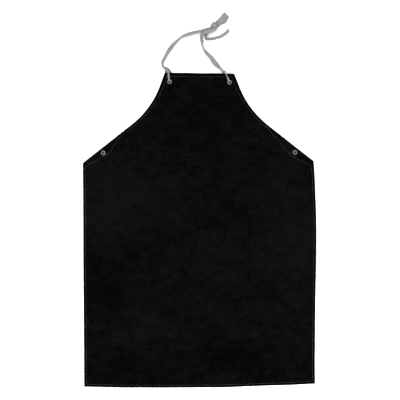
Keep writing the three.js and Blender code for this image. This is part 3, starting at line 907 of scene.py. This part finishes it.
def outline(inset):
    """The panel's outline moved in by an inset, with the same number of stations for every inset."""
    corners = list(CORNERS.values())
    points = corner_points(inset)
    lines = edge_lines(inset)
    stations = []
    for number, corner in enumerate(corners):
        following = (number + 1) % len(corners)
        along = lines[number][1]
        into = lines[number][2]
        start = points[number] + corner.curve * along
        end = points[following] - corners[following].curve * along
        if corner.curve > 0:
            curve_start = points[number] - corner.curve * lines[number - 1][1]
            stations.extend(quadratic_curve(curve_start, points[number], start, CURVE_STATIONS)[:-1])
        reach = math.dist(corner[:2], corners[following][:2]) - corner.curve - corners[following].curve
        steps = round(reach / STATION_SPACING)
        skew = math.log(0.5) / math.log(corner.bow_peak)
        for step in range(steps):
            share = step / steps
            swell = corner.bow * math.sin(math.pi * share**skew)
            stations.append(start.lerp(end, share) - swell * into)
    return stations


class Station(NamedTuple):
    """A place on the folded edge: the way in per metre of inset, the stitch's inset, and distance along."""

    point: Vector
    into: Vector
    stitch: float
    travel: float


def panel_stations():
    outer = outline(0.0)
    inner = outline(HEM_ZONE_END)
    travels = lengths_along([*outer, outer[0]])
    stations = []
    for point, inside, travel in zip(outer, inner, travels):
        into = (inside - point) / HEM_ZONE_END
        place = Vector((point.x, point.y, 0.0))
        wander = EDGE_WANDER * noise.noise(EDGE_WANDER_SCALE * place)
        toward_bib = smoothstep(point.y, BIB_STITCH_FROM_Y, BIB_STITCH_TO_Y)
        stitch = SIDE_STITCH_INSET + toward_bib * (BIB_STITCH_INSET - SIDE_STITCH_INSET)
        stations.append(Station(point + wander * into, into, stitch, travel))
    return stations


class HemRow(NamedTuple):
    """A line along the hem: its inset, its height over the cloth's underside, and how worn it is."""

    inset: float
    height: float
    wear: float


def hem_front(stitch):
    """Rows of the hem's front, from the folded edge inwards to the single layer."""
    ridge = 2 * SHEET + HEM_PUFF
    width = stitch + HEM_BEYOND_STITCH
    return [HemRow(*row) for row in (
        (0.0, SHEET, 1.0),
        (0.00012, SHEET * 1.42, 1.0),
        (0.0005, SHEET * 1.80, 1.0),
        (FOLD_EDGE_INSET, ridge, 0.8),
        (0.0035, ridge, 0.3),
        (stitch - 0.0024, ridge - 0.3 * STITCH_SINK, 0.1),
        (stitch - 0.0009, ridge - 1.1 * STITCH_SINK, 0.0),
        (stitch, 2 * SHEET - STITCH_SINK, 0.0),
        (stitch + 0.0009, ridge - 1.1 * STITCH_SINK, 0.0),
        (stitch + 0.0024, ridge - 0.3 * STITCH_SINK, 0.1),
        (width - 0.0008, ridge, 0.5),
        (width, ridge - 0.0001, 0.7),
        (width + 0.3 * HEM_STEP, SHEET + 0.65 * SHEET, 0.2),
        (width + 0.6 * HEM_STEP, SHEET + 0.25 * SHEET, 0.0),
        (width + HEM_STEP, SHEET, 0.0),
        (width + 2 * HEM_STEP, SHEET, 0.0),
        (HEM_ZONE_END, SHEET, 0.0),
    )]


def hem_back(stitch):
    """Rows of the hem's back, from the folded edge inwards, past the cut edge of the turned layer."""
    width = stitch + HEM_BEYOND_STITCH
    return [HemRow(*row) for row in (
        (0.00012, SHEET * 0.58, 1.0),
        (0.0005, SHEET * 0.20, 1.0),
        (FOLD_EDGE_INSET, 0.0, 0.8),
        (stitch, 0.0, 0.0),
        (width - 0.0002, 0.0, 0.8),
        (width, SHEET - HEM_PUFF, 0.5),
        (width + 0.5 * HEM_STEP, 0.4 * SHEET, 0.0),
        (width + HEM_STEP, 0.0, 0.0),
        (HEM_ZONE_END, 0.0, 0.0),
    )]


def pucker(travel, inset, stitch):
    """Unevenness of the two-layer hem along its stitches."""
    fade_start, fade_end = (stitch + past for past in PUCKER_END_PAST_STITCH)
    inside = smoothstep(inset, *PUCKER_START) * (1.0 - smoothstep(inset, fade_start, fade_end))
    return PUCKER * inside * noise.noise(Vector((travel * PUCKER_SCALE, inset * PUCKER_ACROSS_SCALE, 0.0)))


def rim_shade(station):
    """How dark the band outside the stitches is. It fades out where they leave the hem at a waist eyelet."""
    gaps = [(station.point - place).length for name, place in EYELETS.items() if "waist" in name]
    return RIM_SHADE * smoothstep(min(gaps), RIM_FADE_START, RIM_FADE_END)


def points_inside(border):
    """Points on level rows inside a closed border, clear of it."""
    low = min(point.y for point in border)
    high = max(point.y for point in border)
    row_count = round((high - low) / INNER_SPACING)
    points = []
    for row in range(1, row_count):
        y = low + (high - low) * row / row_count
        crossings = []
        for start, end in zip(border, border[1:] + border[:1]):
            if (start.y <= y) != (end.y <= y):
                crossings.append(start.x + (end.x - start.x) * (y - start.y) / (end.y - start.y))
        crossings.sort()
        for left, right in zip(crossings[::2], crossings[1::2]):
            steps = max(round((right - left) / INNER_SPACING), 1)
            for step in range(1, steps):
                points.append(Vector((left + (right - left) * step / steps, y)))
    return points


def build_panel(material):
    stations = panel_stations()
    count = len(stations)
    vertices = []
    wear = []
    shades = []
    sections = [[*reversed(hem_front(station.stitch)), *hem_back(station.stitch)] for station in stations]
    rings = len(sections[0])
    front_rows = len(hem_front(SIDE_STITCH_INSET))
    for ring in range(rings):
        for station, section in zip(stations, sections):
            row = section[ring]
            point = station.point + row.inset * station.into
            height = row.height + cloth_lift(point.x, point.y)
            if ring < front_rows:
                height += pucker(station.travel, row.inset, station.stitch)
            vertices.append((point.x, point.y, height))
            wear.append(row.wear)
            # Each vertex takes the painted sheen and shade of its place, less the darker band outside the
            # stitches
            rim = rim_shade(station) if row.inset < station.stitch - RIM_MARGIN else 0.0
            shades.append(painted_sheen_and_shade(point.x, point.y) - rim)
    faces = join_rings([stations] * rings)
    border = [Vector(vertex[:2]) for vertex in vertices[:count]]
    inside = points_inside(border)
    flat_points, _, triangles, origins, _, _ = delaunay_2d_cdt(
        border + inside, [], [list(range(count))], TRIANGLES_INSIDE, TRIANGLE_EPSILON)
    back_border = (rings - 1) * count
    front_number = []
    back_number = []
    for point, origin in zip(flat_points, origins):
        if origin and origin[0] < count:
            front_number.append(origin[0])
            back_number.append(back_border + origin[0])
            continue
        lift = cloth_lift(point.x, point.y)
        front_number.append(len(vertices))
        vertices.append((point.x, point.y, lift + SHEET))
        back_number.append(len(vertices))
        vertices.append((point.x, point.y, lift))
        wear.extend([0.0] * 2)
        shades.extend([painted_sheen_and_shade(point.x, point.y)] * 2)
    for triangle in triangles:
        faces.append(tuple(front_number[number] for number in triangle))
        faces.append(tuple(back_number[number] for number in reversed(triangle)))
    panel = make_piece("apron_panel", vertices, faces, material, CLOTH_CREASE)
    add_layer(panel, "wear", wear)
    add_layer(panel, "shade", shades)
    cut_bores(panel, EYELETS.values())
    finish_mesh(panel.data, material, CLOTH_CREASE)
    place_piece(panel, "panel")
    return panel, stations


# Facings


class WaistCorner(NamedTuple):
    """A waist corner with the direction along the armhole and the direction into the panel."""

    point: Vector
    along: Vector
    into: Vector

    def at(self, spot):
        return self.point + spot[0] * self.along + spot[1] * self.into

    def line(self, curve):
        """Points of a straight run, a rounded bend and another straight run."""
        start, bend, end = (self.at(spot) for spot in (curve.down_side, curve.bend, curve.up_armhole))
        bend_start = bend + curve.rounding * (start - bend).normalized()
        bend_end = bend + curve.rounding * (end - bend).normalized()
        points = [start.lerp(bend_start, step / CURVE_POINTS) for step in range(CURVE_POINTS)]
        points += quadratic_curve(bend_start, bend, bend_end, CURVE_POINTS)
        points += [bend_end.lerp(end, (step + 1) / CURVE_POINTS) for step in range(CURVE_POINTS)]
        return points


def waist_corner(side, inset):
    names = list(CORNERS)
    waist = names.index("waist_" + side)
    armhole = names.index("armhole_" + side)
    lines = edge_lines(0.0)
    points = corner_points(inset)
    along = (points[armhole] - points[waist]).normalized()
    into = lines[min(waist, armhole)][2]
    return WaistCorner(points[waist], along, into)


def build_facing(side, material):
    corner = waist_corner(side, FACING_EDGE_INSET)
    curve = FACINGS[side]
    border = [corner.point, *corner.line(curve), corner.at((curve.up_armhole[0], 0.0))]
    if (border[1] - border[0]).cross(border[-1] - border[0]) < 0.0:
        border.reverse()
    top = WAIST_LIFT - CLEARANCE
    vertices, faces = prism(border, top - SHEET, top)
    name = "waist_facing_" + side
    facing = make_piece(name + "_cloth", vertices, faces, material, CUT_CREASE)
    bevel = facing.modifiers.new("cut_edge", "BEVEL")
    bevel.width = FACING_BEVEL
    bevel.segments = 2
    apply_modifiers(facing)
    cut_bores(facing, [EYELETS["eyelet_waist_" + side]])
    finish_mesh(facing.data, material, CUT_CREASE)
    place_piece(facing, name)
    return facing


# Eyelets


def build_eyelet(name, material):
    waist = "waist" in name
    front = WAIST_LIFT + 2 * SHEET + HEM_PUFF if waist else NECK_LIFT + SHEET
    back = WAIST_LIFT - SHEET - CLEARANCE if waist else NECK_LIFT
    flange = front + CLEARANCE
    roll = back - CLEARANCE
    crown = EYELET_CROWN
    drop = EYELET_ROLL
    profile = (
        (EYELET_BARREL, roll),
        (EYELET_BARREL, flange),
        (EYELET_RADIUS - 0.0002, flange),
        (EYELET_RADIUS, flange + 0.12 * crown),
        (EYELET_RADIUS, flange + 0.30 * crown),
        (EYELET_RADIUS - 0.0003, flange + 0.60 * crown),
        (EYELET_RADIUS - 0.0008, flange + 0.82 * crown),
        (EYELET_RADIUS - 0.0015, flange + 0.95 * crown),
        (EYELET_RADIUS - 0.0022, flange + crown),
        (EYELET_RADIUS - 0.0029, flange + 0.95 * crown),
        (EYELET_HOLE + 0.0009, flange + 0.78 * crown),
        (EYELET_HOLE + 0.0004, flange + 0.50 * crown),
        (EYELET_HOLE + 0.0001, flange + 0.15 * crown),
        (EYELET_HOLE, flange - 0.10 * crown),
        (EYELET_HOLE, roll - 0.3 * drop),
        (EYELET_HOLE + 0.0002, roll - 0.6 * drop),
        (EYELET_HOLE + 0.0006, roll - 0.85 * drop),
        (EYELET_BARREL + 0.0012, roll - drop),
        (EYELET_ROLL_RADIUS - 0.0008, roll - 0.9 * drop),
        (EYELET_ROLL_RADIUS - 0.0003, roll - 0.7 * drop),
        (EYELET_ROLL_RADIUS, roll - 0.3 * drop),
        (EYELET_ROLL_RADIUS - 0.0001, roll),
    )
    place = EYELETS[name]
    vertices = []
    faces = []
    for x, y in circle(EYELET_SIDES):
        for radius, height in profile:
            vertices.append((place.x + radius * x, place.y + radius * y, height))
    count = len(profile)
    for side in range(EYELET_SIDES):
        here = side * count
        beside = (side + 1) % EYELET_SIDES * count
        for step in range(count):
            above = (step + 1) % count
            faces.append((here + step, here + above, beside + above, beside + step))
    eyelet = make_piece(name + "_ring", vertices, faces, material, BRASS_CREASE)
    # Painted shade: darkest inside the hole, fading out over the inner lip
    painted_throat_shade = [1.0 - smoothstep(radius, THROAT_SHADE_START, THROAT_SHADE_END) for radius, _ in profile]
    add_layer(eyelet, "painted_throat_shade", painted_throat_shade * EYELET_SIDES)
    place_piece(eyelet, name)
    return eyelet


# Stitches


class ThreadRing(NamedTuple):
    """A ring round a stitch: share of the way along it, share of its thickness, rise in thread heights."""

    along: float
    thickness: float
    rise: float


THREAD_RINGS = (
    ThreadRing(0.00, 0.35, -1.1),
    ThreadRing(0.12, 0.80, -0.2),
    ThreadRing(0.35, 1.00, 0.3),
    ThreadRing(0.65, 1.00, 0.3),
    ThreadRing(0.88, 0.80, -0.2),
    ThreadRing(1.00, 0.35, -1.1),
)


def point_along(points, lengths, distance, number):
    """The point at a distance along a line, searched from a point number onwards."""
    while number + 2 < len(points) and lengths[number + 1] < distance:
        number += 1
    share = (distance - lengths[number]) / (lengths[number + 1] - lengths[number])
    return points[number].lerp(points[number + 1], share), number


def build_stitches(name, points, up, material):
    vertices = []
    faces = []
    lengths = lengths_along(points)
    stitch_count = int(lengths[-1] / STITCH_PITCH)
    pitch = lengths[-1] / stitch_count
    number = 0
    for stitch in range(stitch_count):
        start, number = point_along(points, lengths, pitch * (stitch + 0.5 - STITCH_SHARE / 2), number)
        end, number = point_along(points, lengths, pitch * (stitch + 0.5 + STITCH_SHARE / 2), number)
        along = (end - start).normalized()
        side = along.cross(up).normalized()
        over = side.cross(along)
        rings = []
        for row in THREAD_RINGS:
            middle = start.lerp(end, row.along) + row.rise * THREAD_HEIGHT * over
            width = row.thickness * THREAD_WIDTH
            height = row.thickness * THREAD_HEIGHT
            rings.append([middle + width * x * side + height * y * over for x, y in circle(THREAD_SIDES)])
        add_closed_tube(vertices, faces, rings)
    stitches = make_piece(name, vertices, faces, material, THREAD_CREASE)
    place_piece(stitches)
    return stitches


def hem_stitch_line(stations, front):
    points = []
    for station in stations:
        stitch = station.stitch
        spot = station.point + stitch * station.into
        height = BACK_SINK
        if front:
            height = 2 * SHEET - STITCH_SINK + pucker(station.travel, stitch, stitch)
        points.append(Vector((spot.x, spot.y, cloth_lift(spot.x, spot.y) + height)))
    return points


def waist_seam_line(side, cloth, front):
    """The curved seam of a facing, on the front of the cloth or on the back of the facing."""
    points = []
    for spot in waist_corner(side, 0.0).line(SEAMS[side]):
        if front:
            height = cloth.ray_cast(Vector((spot.x, spot.y, RAY_TOP)), DOWN)[0].z
        else:
            height = WAIST_LIFT - CLEARANCE - SHEET + BACK_SINK
        points.append(Vector((spot.x, spot.y, height)))
    return points


def nearest_number(points, spot):
    return min(range(len(points)), key=lambda number: (points[number] - spot).length)


def stitch_loop(stations, cloth, front):
    """The one closed line of stitches: along the hem, and below the eyelet at each waist corner."""
    hem = hem_stitch_line(stations, front)
    right = waist_seam_line("right", cloth, front)
    left = list(reversed(waist_seam_line("left", cloth, front)))
    bottom_start = nearest_number(hem, left[-1]) + 1
    bottom_end = nearest_number(hem, right[0])
    bib_start = nearest_number(hem, right[-1]) + 1
    bib_end = nearest_number(hem, left[0])
    return [*hem[bottom_start:], *hem[:bottom_end], *right, *hem[bib_start:bib_end], *left, hem[bottom_start]]


# Floor and light


def make_floor(material):
    sides = ((-1, -1), (1, -1), (1, 1), (-1, 1))
    corners = [(FLOOR_HALF * x, FLOOR_HALF * y, FLOOR_HEIGHT) for x, y in sides]
    floor = make_piece("floor", corners, [(0, 1, 2, 3)], material, CUT_CREASE)


def make_softbox(name, location, energy):
    light = bpy.data.lights.new(name, "AREA")
    light.shape = "RECTANGLE"
    light.size, light.size_y = SOFTBOX_SIZE
    light.energy = energy
    holder = add_object(name, light)
    holder.location = location
    holder.rotation_euler = (Vector(SOFTBOX_TARGET) - Vector(location)).to_track_quat("-Z", "Y").to_euler()
    holder.visible_glossy = False


def make_world():
    """Bright towards the horizon and dim overhead, so that the black cloth mirrors little from above."""
    world = bpy.data.worlds.new("studio")
    world.use_nodes = True
    tree = world.node_tree
    direction = tree.nodes.new("ShaderNodeTexCoord").outputs["Generated"]
    split = tree.nodes.new("ShaderNodeSeparateXYZ")
    ramp = tree.nodes.new("ShaderNodeValToRGB")
    for element, (position, colour) in zip(ramp.color_ramp.elements, SKY):
        element.position = position
        element.color = colour
    tree.links.new(direction, split.inputs["Vector"])
    tree.links.new(split.outputs["Z"], ramp.inputs["Fac"])
    tree.links.new(ramp.outputs["Color"], tree.nodes["Background"].inputs["Color"])
    bpy.context.scene.world = world


# The scene

make_camera()

cotton = cotton_material()
for tape_name, tape_rows, tape_exit in (
    ("neck_tape_left", LEFT_TAPE, (-0.1225, 0.6117, 0.0040)),
    ("neck_tape_right", RIGHT_TAPE, (0.0990, 0.6090, 0.0040)),
):
    tape, tape_path, tape_length, tape_end = build_tape(tape_name, tape_rows, cotton)
    fray = build_fray(tape_name + "_fray", tape_end, cotton)

rubber = rubber_material()
thread = thread_material()
panel, edge_stations = build_panel(rubber)
facings = {side: build_facing(side, rubber) for side in FACINGS}
brass = brass_material()
for eyelet_name in EYELETS:
    build_eyelet(eyelet_name, brass)
panel_surface = BVHTree.FromPolygons(
    [vertex.co for vertex in panel.data.vertices], [polygon.vertices for polygon in panel.data.polygons])
for stitch_name, is_front in (("stitching_front", True), ("stitching_back", False)):
    stitch_line = stitch_loop(edge_stations, panel_surface, is_front)
    build_stitches(stitch_name, stitch_line, UP if is_front else DOWN, thread)

make_floor(floor_material())
make_world()
for softbox_name, (softbox_place, softbox_energy) in SOFTBOXES.items():
    make_softbox(softbox_name, softbox_place, softbox_energy)
bpy.context.scene.view_settings.view_transform = "Standard"
bpy.context.scene.view_settings.look = "Very High Contrast"
